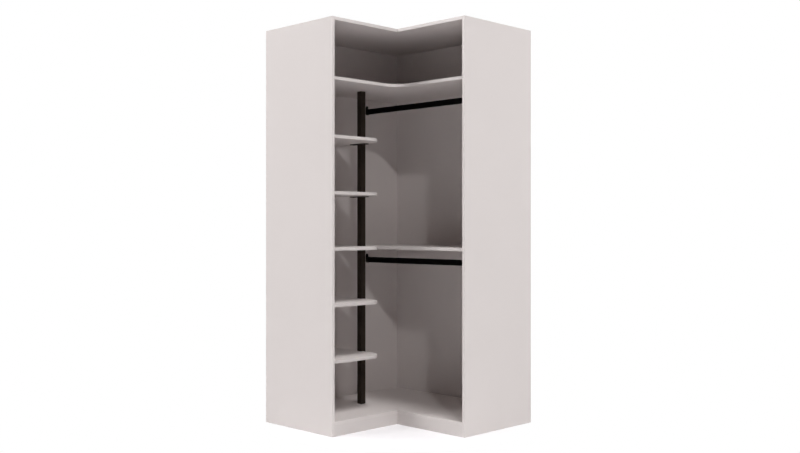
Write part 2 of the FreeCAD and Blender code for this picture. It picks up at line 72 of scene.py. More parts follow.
camera_data = bpy.data.cameras.new("camera")
camera_data.lens = camera_data.sensor_width * FOCAL_PIXELS / IMAGE_WIDTH
camera = bpy.data.objects.new("camera", camera_data)
camera.location = CAMERA_PLACE
camera.rotation_euler = (QUARTER_TURN, 0, math.radians(CAMERA_TURN))
scene.collection.objects.link(camera)
scene.camera = camera
print("lens", round(camera_data.lens, 2), "mm")

# %% [markdown]
# ## Node helpers
# Finishes and repeated pieces are all trees of nodes, so a few helpers keep them readable. The first
# adds a node and fills its inputs: a socket that is handed in is linked, and any other value is set.
# The others do one step of maths, mix two values, build a vector, and start or use a reusable group.

# %% Node helpers


def add_node(tree, kind, settings=None, **inputs):
    """Adds a node; an underscore in an input's name stands for a space."""
    node = tree.nodes.new(kind)
    for name, setting in (settings or {}).items():
        setattr(node, name, setting)
    for name, given in inputs.items():
        fill(tree, node.inputs[name.replace("_", " ")], given)
    return node


def fill(tree, socket, given):
    """Links a socket, or sets a plain value."""
    if isinstance(given, bpy.types.NodeSocket):
        tree.links.new(given, socket)
    else:
        socket.default_value = given


def fill_all(tree, sockets, values):
    """Fills sockets one after the other."""
    for socket, given in zip(sockets, values):
        fill(tree, socket, given)


def maths(tree, operation, *values):
    """One step of arithmetic on values or sockets."""
    node = add_node(tree, "ShaderNodeMath", {"operation": operation})
    fill_all(tree, node.inputs, values)
    return node.outputs["Value"]


def vector_of(tree, *parts):
    """A vector of three values or sockets."""
    node = add_node(tree, "ShaderNodeCombineXYZ")
    fill_all(tree, node.inputs, parts)
    return node.outputs["Vector"]


# For each kind of value, the places of a mix node's share, first and second value, and result.
MIX_PLACES = {"RGBA": (0, 6, 7, 2), "FLOAT": (0, 2, 3, 0)}


def mixed(tree, kind, share, first, second):
    """A mix of two colours or two numbers; the share is that of the second."""
    node = add_node(tree, "ShaderNodeMix", {"data_type": kind})
    *places, result = MIX_PLACES[kind]
    fill_all(tree, [node.inputs[place] for place in places], (share, first, second))
    return node.outputs[result]


def new_group(name, kind, inputs, outputs):
    """A node group with named sockets: its tree, its input node and its output node."""
    tree = bpy.data.node_groups.new(name, kind)
    for way, sockets in (("INPUT", inputs), ("OUTPUT", outputs)):
        for label, socket_type in sockets.items():
            tree.interface.new_socket(label, in_out=way, socket_type=socket_type)
    return tree, tree.nodes.new("NodeGroupInput"), tree.nodes.new("NodeGroupOutput")


def use_group(tree, group, **inputs):
    """Places a shader group in a material, and hands out its outputs."""
    return add_node(tree, "ShaderNodeGroup", {"node_tree": group}, **inputs).outputs


print("helpers ready")

# %% [markdown]
# ## Shared surface effects
# Three effects are used by more than one finish, so each becomes a shader group. *Fine grain* is the
# texture of a pressed coating or of powder paint: a slow cloudiness, and a fine grain for gloss and
# bump. *Arris highlight mask* finds the rounded arrises, where the boards get a painted highlight: on
# boards that stand square to the axes, a face's normal has one large part, and only an arris has two.
# *Chipboard* is the core where it isn't coated.

# %% Fine grain
FLOAT = "NodeSocketFloat"
COLOUR = "NodeSocketColor"

fine_grain, given, made = new_group("fine_grain", "ShaderNodeTree",
                                    {"Cloud scale": FLOAT, "Grain scale": FLOAT},
                                    {"Cloud": FLOAT, "Grain": FLOAT})
place = add_node(fine_grain, "ShaderNodeTexCoord").outputs["Object"]
cloud = add_node(fine_grain, "ShaderNodeTexNoise", Vector=place, Scale=given.outputs["Cloud scale"],
                 Detail=3.0, Roughness=0.55)
grain = add_node(fine_grain, "ShaderNodeTexNoise", Vector=place, Scale=given.outputs["Grain scale"],
                 Detail=2.0, Roughness=0.6)
fine_grain.links.new(cloud.outputs["Fac"], made.inputs["Cloud"])
fine_grain.links.new(grain.outputs["Fac"], made.inputs["Grain"])

# %% Arris highlight mask
EDGE_START = 0.03
EDGE_FULL = 0.25

arris_highlight_mask, given, made = new_group("arris_highlight_mask", "ShaderNodeTree", {}, {"Edge": FLOAT})
normal = add_node(arris_highlight_mask, "ShaderNodeTexCoord").outputs["Normal"]
parts = add_node(arris_highlight_mask, "ShaderNodeSeparateXYZ", Vector=normal).outputs
sides = [maths(arris_highlight_mask, "ABSOLUTE", parts[axis]) for axis in "XYZ"]
largest = maths(arris_highlight_mask, "MAXIMUM", maths(arris_highlight_mask, "MAXIMUM", sides[0], sides[1]), sides[2])
edge = add_node(arris_highlight_mask, "ShaderNodeMapRange", Value=maths(arris_highlight_mask, "SUBTRACT", 1.0, largest),
                From_Min=EDGE_START, From_Max=EDGE_FULL)
arris_highlight_mask.links.new(edge.outputs["Result"], made.inputs["Edge"])

# %% Chipboard
CHIP_SCALE = 320.0
CHIP_COLOURS = (
    (0.0, (0.20, 0.125, 0.07, 1)),
    (0.45, (0.44, 0.31, 0.19, 1)),
    (1.0, (0.62, 0.49, 0.34, 1)),
)

chipboard, given, made = new_group("chipboard", "ShaderNodeTree", {}, {"Colour": COLOUR, "Height": FLOAT})
place = add_node(chipboard, "ShaderNodeTexCoord").outputs["Object"]
flakes = add_node(chipboard, "ShaderNodeTexVoronoi", Vector=place, Scale=CHIP_SCALE, Randomness=1.0)
tint = add_node(chipboard, "ShaderNodeValToRGB", Fac=flakes.outputs["Color"])
# A new ramp has two stops, so a third one is added between them.
tint.color_ramp.elements.new(0.5)
for stop, (position, colour) in zip(tint.color_ramp.elements, CHIP_COLOURS):
    stop.position = position
    stop.color = colour
chipboard.links.new(tint.outputs["Color"], made.inputs["Colour"])
chipboard.links.new(flakes.outputs["Distance"], made.inputs["Height"])
print("effects:", [group.name for group in (fine_grain, arris_highlight_mask, chipboard)])

# %% [markdown]
# ## Coated boards
# The boards are chipboard with a matt, warm light grey coating. Close by, such a coating has a faint
# pressed texture, and the eased arrises get a painted highlight: a shade lighter colour on the rounded
# edges. Edges that face a wall or the floor are left uncoated, as they are on real furniture, so the
# core shows there. Which faces are edges depends on how a board stands, so there is one finish for
# each way that the boards' main faces can point. All finishes start and end alike, so three short
# functions come first.

# %% Parts of a finish


def new_material(name):
    """An empty node material, its tree and its output node."""
    material = bpy.data.materials.new(name)
    material.use_nodes = True
    material.node_tree.nodes.clear()
    output = material.node_tree.nodes.new("ShaderNodeOutputMaterial")
    return material, material.node_tree, output


def ranged(tree, share, span):
    """A value between two ends, picked by a share from zero to one."""
    node = add_node(tree, "ShaderNodeMapRange", Value=share, To_Min=span[0], To_Max=span[1])
    return node.outputs["Result"]


def end_finish(tree, output, height, bump_depth, **inputs):
    """Ends a material with a surface that has a fine relief."""
    bump = add_node(tree, "ShaderNodeBump", Height=height, Distance=bump_depth, Strength=1.0)
    surface = add_node(tree, "ShaderNodeBsdfPrincipled", Normal=bump.outputs["Normal"], **inputs)
    tree.links.new(surface.outputs["BSDF"], output.inputs["Surface"])


# %% Coated boards
BOARD_DARK = (0.694, 0.642, 0.627, 1)
BOARD_LIGHT = (0.716, 0.662, 0.647, 1)
# The arris colour is a painted highlight: a lighter tone laid on the rounded edges of the boards.
ARRIS_HIGHLIGHT_COLOUR = (0.752, 0.699, 0.684, 1)
BOARD_CLOUD = 1.7
BOARD_GRAIN = 900.0
BOARD_BUMP = 0.00005
BOARD_ROUGHNESS = (0.50, 0.62)
BOARD_SHINE = 0.25
RAW_ROUGHNESS = 0.9
# The walls stand towards minus X and plus Y, and the floor lies towards minus Z.
RAW_WAYS = {"X": -1.0, "Y": 1.0, "Z": -1.0}
RAW_LIMIT = 0.9


def raw_mask(tree, main_axis):
    """One on edges that face a wall or the floor, and zero on the main faces."""
    normal = add_node(tree, "ShaderNodeTexCoord").outputs["Normal"]
    parts = add_node(tree, "ShaderNodeSeparateXYZ", Vector=normal).outputs
    edge_ways = [axis for axis in RAW_WAYS if axis != main_axis]
    facing = [maths(tree, "MULTIPLY", parts[axis], RAW_WAYS[axis]) for axis in edge_ways]
    return maths(tree, "GREATER_THAN", maths(tree, "MAXIMUM", *facing), RAW_LIMIT)


def board_finish(main_axis):
    """The coating of boards whose main faces point along an axis."""
    material, tree, output = new_material(f"coated_board_{main_axis.lower()}")
    skin = use_group(tree, fine_grain, Cloud_scale=BOARD_CLOUD, Grain_scale=BOARD_GRAIN)
    core = use_group(tree, chipboard)
    arris = use_group(tree, arris_highlight_mask)
    raw = raw_mask(tree, main_axis)
    coat = mixed(tree, "RGBA", skin["Cloud"], BOARD_DARK, BOARD_LIGHT)
    # Painted highlight: the rounded arrises take the lighter arris colour.
    arris_highlighted = mixed(tree, "RGBA", arris["Edge"], coat, ARRIS_HIGHLIGHT_COLOUR)
    colour = mixed(tree, "RGBA", raw, arris_highlighted, core["Colour"])
    gloss = ranged(tree, skin["Grain"], BOARD_ROUGHNESS)
    roughness = maths(tree, "MAXIMUM", gloss, maths(tree, "MULTIPLY", raw, RAW_ROUGHNESS))
    relief = mixed(tree, "FLOAT", raw, skin["Grain"], core["Height"])
    end_finish(tree, output, relief, BOARD_BUMP, Base_Color=colour, Roughness=roughness,
               Specular_IOR_Level=BOARD_SHINE)
    return material


board_finishes = {axis: board_finish(axis) for axis in "XYZ"}
print("boards:", [material.name for material in board_finishes.values()])

# %% [markdown]
# ## Bands, black steel and bright steel
# Bands, powder paint and zinc are made alike: a colour between two tones, with the fine grain in the
# gloss and in the relief. One function makes them all.
#
# Where a board's edge shows, a thin plastic band is glued on, a little smoother than the coating. Its
# colour is the board's, made a shade lighter as a painted highlight on the front edges. Post, plates,
# rails and sockets are powder coated, with the fine orange-peel skin that the powder leaves when it
# melts. The post and its plates are a brown black, and the rails and their sockets a deeper, neutral
# black. Cam locks, bolts and pins are die-cast or turned and zinc plated: metallic, with a slightly
# blotchy gloss.

# %% Bands, black steel and bright steel
POWDER = {"cloud_scale": 9.0, "grain_scale": 700.0, "roughness": (0.40, 0.56), "bump_depth": 0.00012}


def grained_finish(name, dark, light, cloud_scale, grain_scale, roughness, bump_depth, gloss_by="Grain",
                   **inputs):
    """A finish between two tones, with the fine grain in its gloss and its relief."""
    material, tree, output = new_material(name)
    skin = use_group(tree, fine_grain, Cloud_scale=cloud_scale, Grain_scale=grain_scale)
    colour = mixed(tree, "RGBA", skin["Cloud"], dark, light)
    gloss = ranged(tree, skin[gloss_by], roughness)
    end_finish(tree, output, skin["Grain"], bump_depth, Base_Color=colour, Roughness=gloss, **inputs)
    return material


# The band's tones are the board colour made a shade lighter: a painted highlight on the front edges.
band_finish = grained_finish(
    "edge_band", dark=(0.722, 0.668, 0.652, 1), light=(0.738, 0.682, 0.666, 1),
    cloud_scale=6.0, grain_scale=1400.0, roughness=(0.40, 0.50), bump_depth=0.00003,
    Specular_IOR_Level=0.4)
post_finish = grained_finish(
    "post_powder_coat", dark=(0.0265, 0.0195, 0.0150, 1), light=(0.0345, 0.0260, 0.0205, 1),
    Specular_IOR_Level=0.10, **POWDER)
rail_finish = grained_finish(
    "rail_powder_coat", dark=(0.0018, 0.0017, 0.0016, 1), light=(0.0036, 0.0034, 0.0032, 1),
    Specular_IOR_Level=0.04, **POWDER)
zinc_finish = grained_finish(
    "bright_steel", dark=(0.33, 0.33, 0.34, 1), light=(0.46, 0.46, 0.47, 1),
    cloud_scale=260.0, grain_scale=2200.0, roughness=(0.28, 0.46), bump_depth=0.000008,
    gloss_by="Cloud", Metallic=1.0)
print("finishes:", [finish.name for finish in (band_finish, post_finish, rail_finish, zinc_finish)])

# %% [markdown]
# ## Beech and black plastic
# The dowels are beech with a fine, mottled grain, and the plugs in the post are moulded plastic.

# %% Beech
BEECH_DARK = (0.47, 0.30, 0.17, 1)
BEECH_LIGHT = (0.66, 0.47, 0.29, 1)
BEECH_BUMP = 0.0001
BEECH_ROUGHNESS = 0.65

beech_finish, tree, output = new_material("beech")
place = add_node(tree, "ShaderNodeTexCoord").outputs["Object"]
grain = add_node(tree, "ShaderNodeTexNoise", Vector=place, Scale=420.0, Detail=4.0, Distortion=0.6)
colour = mixed(tree, "RGBA", grain.outputs["Fac"], BEECH_DARK, BEECH_LIGHT)
end_finish(tree, output, grain.outputs["Fac"], BEECH_BUMP, Base_Color=colour, Roughness=BEECH_ROUGHNESS)

# %% Black plastic
PLASTIC_DARK = (0.018, 0.018, 0.018, 1)
PLASTIC_LIGHT = (0.030, 0.030, 0.030, 1)
PLASTIC_BUMP = 0.00005
PLASTIC_ROUGHNESS = 0.55

plastic_finish, tree, output = new_material("black_plastic")
skin = use_group(tree, fine_grain, Cloud_scale=40.0, Grain_scale=1600.0)
colour = mixed(tree, "RGBA", skin["Cloud"], PLASTIC_DARK, PLASTIC_LIGHT)
end_finish(tree, output, skin["Grain"], PLASTIC_BUMP, Base_Color=colour, Roughness=PLASTIC_ROUGHNESS)
print("finishes:", beech_finish.name, plastic_finish.name)

# %% [markdown]
# ## Putting the finishes on
# The record says what each node is made of. A board's main faces are the two that lie closest
# together, so the thinnest side of its box picks the finish. The meshes themselves stay as they are.

# %% Finishes on the nodes
PLAIN_FINISHES = {
    "black_steel": post_finish,
    "bright_steel": zinc_finish,
    "beech": beech_finish,
    "black_plastic": plastic_finish,
}


def finish_of(name):
    """The finish for a node."""
    if "_rail" in name:
        return rail_finish
    if slot_of[name] in PLAIN_FINISHES:
        return PLAIN_FINISHES[slot_of[name]]
    low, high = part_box(name)
    sides = high - low
    return board_finishes["XYZ"[min(range(3), key=lambda axis: sides[axis])]]


for name, node in nodes.items():
    node.data.materials.clear()
    node.data.materials.append(finish_of(name))
slots = list(slot_of.values())
print({slot: slots.count(slot) for slot in sorted(set(slots))})

# %% [markdown]
# ## Where the fittings sit
# Like fittings share one node, as a group of loose solids. A merged copy of the node's mesh is split
# into its islands, and each island's box tells where that fitting sits and how long it is. So every
# screw, lock and pin that we draw stands exactly where the construction has one.

# %% Loose solids
MERGE_DISTANCE = 1e-5


def solids_of(name):
    """The loose solids of a node, each as a list of points."""
    shape = bmesh.new()
    shape.from_mesh(nodes[name].data)
    bmesh.ops.remove_doubles(shape, verts=shape.verts, dist=MERGE_DISTANCE)
    for vertex in shape.verts:
        vertex.tag = False
    solids = []
    for start in shape.verts:
        if start.tag:
            continue
        start.tag = True
        queue = [start]
        points = []
        while queue:
            vertex = queue.pop()
            points.append(vertex.co.copy())
            for edge in vertex.link_edges:
                other = edge.other_vert(vertex)
                if not other.tag:
                    other.tag = True
                    queue.append(other)
        solids.append(points)
    shape.free()
    return solids


def box_of(points):
    """The lowest and highest corners of some points."""
    low = Vector([min(point[axis] for point in points) for axis in range(3)])
    high = Vector([max(point[axis] for point in points) for axis in range(3)])
    return low, high


def along(axis, length=1.0):
    """A vector along an axis, which is given by its number."""
    way = Vector((0, 0, 0))
    way[axis] = length
    return way


print("post screws:", len(solids_of("post_screws")))

# %% [markdown]
# ## Geometry trees
# A fitting is drawn once, in a tree of geometry nodes with named sizes, and set on points that carry
# its turn. The first helpers start such a tree and draw the simple shapes that fittings are made of.

# %% Shapes in a tree
GEOMETRY = "NodeSocketGeometry"
ROUND_STEPS = 8


def new_shape_tree(name, sizes):
    """A geometry tree with named sizes and a material."""
    inputs = {"Geometry": GEOMETRY, **{size: FLOAT for size in sizes}, "Material": "NodeSocketMaterial"}
    return new_group(name, "GeometryNodeTree", inputs, {"Geometry": GEOMETRY})


def moved(tree, shape, place, turn=(0, 0, 0)):
    """A shape at another place; a place may hold sockets."""
    node = add_node(tree, "GeometryNodeTransform", Geometry=shape, Translation=vector_of(tree, *place),
                    Rotation=turn)
    return node.outputs["Geometry"]


def cylinder(tree, sides, radius, depth):
    """An upright cylinder round the origin."""
    node = add_node(tree, "GeometryNodeMeshCylinder", Vertices=sides, Radius=radius, Depth=depth)
    return node.outputs["Mesh"]


def block(tree, *sides):
    """A block round the origin."""
    return add_node(tree, "GeometryNodeMeshCube", Size=vector_of(tree, *sides)).outputs["Mesh"]


def cross_bars(tree, width, reach, depth):
    """The two bars of a cross recess, round the origin."""
    return [block(tree, *sides, depth) for sides in ((width, reach), (reach, width))]


def rounded_outline(tree, width, height, radius):
    """A rectangle with rounded corners, as a curve."""
    outline = add_node(tree, "GeometryNodeCurvePrimitiveQuadrilateral", Width=width, Height=height)
    rounded = add_node(tree, "GeometryNodeFilletCurve", {"mode": "POLY"}, Curve=outline.outputs["Curve"],
                       Count=ROUND_STEPS, Radius=radius, Limit_Radius=True)
    return rounded.outputs["Curve"]


def raised_outline(tree, outline, fill_mode, height):
    """An outline that is filled and raised to a closed shape."""
    sheet = add_node(tree, "GeometryNodeFillCurve", {"mode": fill_mode}, Curve=outline).outputs["Mesh"]
    raised = add_node(tree, "GeometryNodeExtrudeMesh", Mesh=sheet, Offset_Scale=height, Individual=False)
    under = add_node(tree, "GeometryNodeFlipFaces", Mesh=sheet)
    shell = add_node(tree, "GeometryNodeJoinGeometry")
    for part in (under, raised):
        tree.links.new(part.outputs["Mesh"], shell.inputs["Geometry"])
    closed = add_node(tree, "GeometryNodeMergeByDistance", Geometry=shell.outputs["Geometry"],
                      Distance=MERGE_DISTANCE)
    return closed.outputs["Geometry"]


def combined(tree, operation, first, *others):
    """Joins or cuts closed shapes."""
    node = add_node(tree, "GeometryNodeMeshBoolean", {"operation": operation, "solver": "EXACT"})
    if operation == "DIFFERENCE":
        tree.links.new(first, node.inputs["Mesh 1"])
    else:
        others = (first, *others)
    for shape in others:
        tree.links.new(shape, node.inputs["Mesh 2"])
    return node.outputs["Mesh"]


# %% [markdown]
# The next helpers add the usual ending that makes real mesh of the instances, and turn the result
# into a plain mesh, because an exported model can't carry instances. The last one draws a fitting at
# every spot of a node and takes that node's place.

# %% From tree to piece
SMOOTH_BELOW = math.radians(32)


def end_tree(tree, shape, given, made):
    """Makes real mesh of what was drawn, and gives it its finish."""
    real = add_node(tree, "GeometryNodeRealizeInstances", Geometry=shape)
    finish = add_node(tree, "GeometryNodeSetMaterial", Geometry=real.outputs["Geometry"],
                      Material=given.outputs["Material"])
    tree.links.new(finish.outputs["Geometry"], made.inputs["Geometry"])


def end_on_points(tree, shape, given, made):
    """Sets a fitting on every point, turned as the point says, and ends the tree."""
    turn = add_node(tree, "GeometryNodeInputNamedAttribute", {"data_type": "FLOAT_VECTOR"}, Name="turn")
    rotation = add_node(tree, "FunctionNodeEulerToRotation", Euler=turn.outputs["Attribute"])
    copies = add_node(tree, "GeometryNodeInstanceOnPoints", Points=given.outputs["Geometry"], Instance=shape,
                      Rotation=rotation.outputs["Rotation"])
    end_tree(tree, copies.outputs["Instances"], given, made)


def run_tree(name, tree, base, finish, sizes):
    """Runs a tree on a base mesh, and keeps the result as a plain mesh."""
    piece = bpy.data.objects.new(name, base)
    scene.collection.objects.link(piece)
    modifier = piece.modifiers.new("shape", "NODES")
    modifier.node_group = tree
    sockets = {item.name: item.identifier for item in tree.interface.items_tree if item.in_out == "INPUT"}
    for label, size in sizes.items():
        modifier[sockets[label]] = size
    modifier[sockets["Material"]] = finish
    evaluated = piece.evaluated_get(bpy.context.evaluated_depsgraph_get())
    mesh = bpy.data.meshes.new_from_object(evaluated)
    piece.modifiers.remove(modifier)
    piece.data = mesh
    mesh.name = name
    mesh.shade_smooth()
    mesh.set_sharp_from_angle(angle=SMOOTH_BELOW)
    return piece


def points_mesh(name, spots):
    """A mesh of bare points, each with its turn; a spot is a place and two directions."""
    mesh = bpy.data.meshes.new(name)
    mesh.from_pydata([place for place, up, side in spots], [], [])
    turns = mesh.attributes.new("turn", "FLOAT_VECTOR", "POINT")
    for index, (place, up, side) in enumerate(spots):
        axes = Matrix((side, up.cross(side), up)).transposed()
        turns.data[index].vector = axes.to_euler()
    return mesh


def keep_piece(piece, slot, *replaced):
    """Fixes a new piece to the wardrobe, in the place of its nodes."""
    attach(piece, "root")
    if replaced:
        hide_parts(*replaced)
    print(piece.name, len(piece.data.polygons), "faces")


def add_fittings(node_name, tree, finish, found):
    """Draws a fitting at every spot of a node; what was found is a spot and sizes for each."""
    spots = [spot for spot, sizes in found]
    first_sizes = found[0][1]
    piece_name = node_name.removesuffix("s") + "_set"
    piece = run_tree(piece_name, tree, points_mesh(node_name, spots), finish, first_sizes)
    keep_piece(piece, slot_of[node_name], node_name)


# %% [markdown]
# ## Screws
# The rail sockets, the shelf plates and the post are held by screws with a domed head and a cross
# recess. The dome is a sphere that is scaled flat and cut off at the seat, the shank ends in a
# point, and the recess is cut out of the head with two bars. A tapered recess would be truer, but at
# this size two bars look the same.

# %% Screw tree
SCREW_SIZES = ("Head radius", "Head height", "Shank radius", "Shank length")
DOME_SEGMENTS = 32
DOME_RINGS = 16
SHANK_SIDES = 24
SUNK_SHARE = 0.3
TIP_SHARE = 2.0
TIP_END_RADIUS = 0.0003
RECESS_WIDTH_SHARE = 0.22
RECESS_REACH_SHARE = 1.15
RECESS_DEPTH_SHARE = 0.6

screw_tree, given, made = new_shape_tree("screw", SCREW_SIZES)
head_radius, head_height, shank_radius, shank_length = [given.outputs[size] for size in SCREW_SIZES]
ball = add_node(screw_tree, "GeometryNodeMeshUVSphere", Segments=DOME_SEGMENTS, Rings=DOME_RINGS, Radius=1.0)
flat = add_node(screw_tree, "GeometryNodeTransform", Geometry=ball.outputs["Mesh"],
                Scale=vector_of(screw_tree, head_radius, head_radius, head_height))
place = add_node(screw_tree, "GeometryNodeInputPosition").outputs["Position"]
parts = add_node(screw_tree, "ShaderNodeSeparateXYZ", Vector=place).outputs
above_seat = maths(screw_tree, "MAXIMUM", parts["Z"], 0.0)
dome = add_node(screw_tree, "GeometryNodeSetPosition", Geometry=flat.outputs["Geometry"],
                Position=vector_of(screw_tree, parts["X"], parts["Y"], above_seat))
tip_length = maths(screw_tree, "MULTIPLY", shank_radius, TIP_SHARE)
straight = maths(screw_tree, "SUBTRACT", shank_length, tip_length)
sunk = maths(screw_tree, "MULTIPLY", head_height, SUNK_SHARE)
shank = cylinder(screw_tree, SHANK_SIDES, shank_radius, maths(screw_tree, "ADD", straight, sunk))
shank_middle = maths(screw_tree, "MULTIPLY", maths(screw_tree, "SUBTRACT", sunk, straight), 0.5)
shank = moved(screw_tree, shank, (0, 0, shank_middle))
tip = add_node(screw_tree, "GeometryNodeMeshCone", Vertices=SHANK_SIDES, Radius_Top=shank_radius,
               Radius_Bottom=TIP_END_RADIUS, Depth=tip_length)
tip_end = maths(screw_tree, "MULTIPLY", shank_length, -1.0)
tip = moved(screw_tree, tip.outputs["Mesh"], (0, 0, tip_end))
solid = combined(screw_tree, "UNION", dome.outputs["Geometry"], shank, tip)
bar_width = maths(screw_tree, "MULTIPLY", head_radius, RECESS_WIDTH_SHARE)
bar_reach = maths(screw_tree, "MULTIPLY", head_radius, RECESS_REACH_SHARE)
# Half of each bar stands out of the head.
bar_depth = maths(screw_tree, "MULTIPLY", head_height, 2 * RECESS_DEPTH_SHARE)
bars = [moved(screw_tree, bar, (0, 0, head_height))
        for bar in cross_bars(screw_tree, bar_width, bar_reach, bar_depth)]
end_on_points(screw_tree, combined(screw_tree, "DIFFERENCE", solid, *bars), given, made)
print("screw tree:", len(screw_tree.nodes), "nodes")

# %% Screws
LEVEL_MARGIN = 1e-4
SCREW_FINISHES = {"rail_screws": rail_finish, "shelf_plate_screws": post_finish, "post_screws": zinc_finish}


def screw_spot(points):
    """Where a screw's head sits, where it points, and its sizes."""
    low, high = box_of(points)
    axis = max(range(3), key=lambda number: high[number] - low[number])
    middle = (low + high) / 2
    offset = [(point - middle) - along(axis, (point - middle)[axis]) for point in points]
    head_radius = max(part.length for part in offset)
    shank_radius = min(part.length for part in offset)
    rim = [point[axis] for point, part in zip(points, offset) if part.length > head_radius - LEVEL_MARGIN]
    sign = 1.0 if sum(rim) / len(rim) > middle[axis] else -1.0
    head_height = max(rim) - min(rim)
    place = middle.copy()
    place[axis] = min(rim) if sign > 0 else max(rim)
    sizes = (head_radius, head_height, shank_radius, high[axis] - low[axis] - head_height)
    return (place, along(axis, sign), along((axis + 1) % 3)), dict(zip(SCREW_SIZES, sizes))


for node_name, finish in SCREW_FINISHES.items():
    found = [screw_spot(points) for points in solids_of(node_name)]
    add_fittings(node_name, screw_tree, finish, found)

# %% [markdown]
# ## Cam locks
# The boards are pulled together by round cam locks: a drum in the board's face with a cross recess for
# the screwdriver, an arrow that points to the bolt, and a hole in its side where the bolt's head goes
# in. They sit in hidden faces, on top, below and at the back, which show when the wardrobe is turned.

# %% Cam lock tree
LOCK_SIZES = ("Drum radius", "Drum depth", "Bolt depth", "Bolt radius")
DRUM_SIDES = 48
LOCK_RIM = 0.0004
LOCK_FACE_DEPTH = 4 * LOCK_RIM
LOCK_BAR = {"width": 0.0016, "reach": 0.0085, "depth": 0.005}
LOCK_ARROW = (0.0022, 0.0011, 0.0012)
LOCK_ARROW_PLACE = 0.0057
HOLE_SIDES = 24
HOLE_EXTRA_LENGTH = 0.004
HOLE_PAST_AXIS = 0.001

lock_tree, given, made = new_shape_tree("cam_lock", LOCK_SIZES)
drum_radius, drum_depth, bolt_depth, bolt_radius = [given.outputs[size] for size in LOCK_SIZES]
body = cylinder(lock_tree, DRUM_SIDES, drum_radius, maths(lock_tree, "SUBTRACT", drum_depth, LOCK_RIM))
body_middle = maths(lock_tree, "MULTIPLY", maths(lock_tree, "ADD", drum_depth, LOCK_RIM), -0.5)
body = moved(lock_tree, body, (0, 0, body_middle))
face_radius = maths(lock_tree, "SUBTRACT", drum_radius, LOCK_RIM)
face = cylinder(lock_tree, DRUM_SIDES, face_radius, LOCK_FACE_DEPTH)
face = moved(lock_tree, face, (0, 0, -LOCK_FACE_DEPTH / 2))
hole_length = maths(lock_tree, "ADD", drum_radius, HOLE_EXTRA_LENGTH)
hole_middle = maths(lock_tree, "SUBTRACT", maths(lock_tree, "MULTIPLY", hole_length, 0.5), HOLE_PAST_AXIS)
hole_level = maths(lock_tree, "MULTIPLY", bolt_depth, -1.0)
hole = cylinder(lock_tree, HOLE_SIDES, bolt_radius, hole_length)
hole = moved(lock_tree, hole, (hole_middle, 0, hole_level), (0, QUARTER_TURN, 0))
arrow = moved(lock_tree, block(lock_tree, *LOCK_ARROW), (LOCK_ARROW_PLACE, 0, 0))
cuts = [hole, *cross_bars(lock_tree, **LOCK_BAR), arrow]
drum = combined(lock_tree, "UNION", body, face)
end_on_points(lock_tree, combined(lock_tree, "DIFFERENCE", drum, *cuts), given, made)
print("cam lock tree:", len(lock_tree.nodes), "nodes")

# %% Cam locks
BOLT_CLEARANCE = 0.00015
LOCKED_BOARDS = ("top_panel", "upper_shelf", "bottom_panel", "back_panel")


def lock_spot(points, bolts):
    """A lock's outer face, the way it faces, the way to its bolt, and its sizes."""
    low, high = box_of(points)
    axis = min(range(3), key=lambda number: high[number] - low[number])
    middle = (low + high) / 2
    bolt_boxes = [box_of(bolt) for bolt in bolts]
    bolt_low, bolt_high = min(bolt_boxes, key=lambda box: ((box[0] + box[1]) / 2 - middle).length)
    to_bolt = (bolt_low + bolt_high) / 2 - middle
    bolt_axis = max(range(3), key=lambda number: bolt_high[number] - bolt_low[number])
    outward = -1.0 if to_bolt[axis] > 0 else 1.0
    place = middle.copy()
    place[axis] = high[axis] if outward > 0 else low[axis]
    side = along(bolt_axis, math.copysign(1.0, to_bolt[bolt_axis]))
    bolt_depth = abs(place[axis] - (bolt_low[axis] + bolt_high[axis]) / 2)
    bolt_radius = (bolt_high[axis] - bolt_low[axis]) / 2 + BOLT_CLEARANCE
    sizes = ((high[bolt_axis] - low[bolt_axis]) / 2, high[axis] - low[axis], bolt_depth, bolt_radius)
    return (place, along(axis, outward), side), dict(zip(LOCK_SIZES, sizes))


for board in LOCKED_BOARDS:
    node_name = f"{board}_cam_locks"
    bolts = solids_of(f"{board}_cam_bolts")
    found = [lock_spot(points, bolts) for points in solids_of(node_name)]
    add_fittings(node_name, lock_tree, zinc_finish, found)

# %% [markdown]
# ## Shelf pins
# A loose shelf lies on pins: a turned stem in the side, with a flat rounded tongue under the shelf and
# a bead below the tongue that stiffens it. The bead is the stem, which runs on under the tongue. The
# tongue is a rounded rectangle that is filled and raised, which keeps its outline exact.

# %% Shelf pin tree
PIN_SIZES = ("Stem radius", "Stem length", "Tongue length", "Tongue width", "Pin height")
TONGUE_THICKNESS = 0.002
TONGUE_ROUND = 0.0042
STEM_SIDES = 24
BEAD_SHARE = 0.8
COLLAR_SIDES = 32
COLLAR_DEPTH = 0.0008

pin_tree, given, made = new_shape_tree("shelf_pin", PIN_SIZES)
pin_sockets = [given.outputs[size] for size in PIN_SIZES]
stem_radius, stem_length, tongue_length, tongue_width, pin_height = pin_sockets
whole = maths(pin_tree, "ADD", stem_length, maths(pin_tree, "MULTIPLY", tongue_length, BEAD_SHARE))
middle = maths(pin_tree, "SUBTRACT", maths(pin_tree, "MULTIPLY", whole, 0.5), stem_length)
stem = moved(pin_tree, cylinder(pin_tree, STEM_SIDES, stem_radius, whole), (0, 0, middle))
half_height = maths(pin_tree, "MULTIPLY", pin_height, 0.5)
collar = cylinder(pin_tree, COLLAR_SIDES, half_height, COLLAR_DEPTH)
collar = moved(pin_tree, collar, (0, 0, COLLAR_DEPTH / 2))
outline = rounded_outline(pin_tree, tongue_width, tongue_length, TONGUE_ROUND)
tongue = raised_outline(pin_tree, outline, "NGONS", TONGUE_THICKNESS)
half_length = maths(pin_tree, "MULTIPLY", tongue_length, 0.5)
tongue = moved(pin_tree, tongue, (0, half_height, half_length), (QUARTER_TURN, 0, 0))
end_on_points(pin_tree, combined(pin_tree, "UNION", stem, collar, tongue), given, made)
print("pin tree:", len(pin_tree.nodes), "nodes")

# %% Shelf pins
UP = Vector((0, 0, 1))


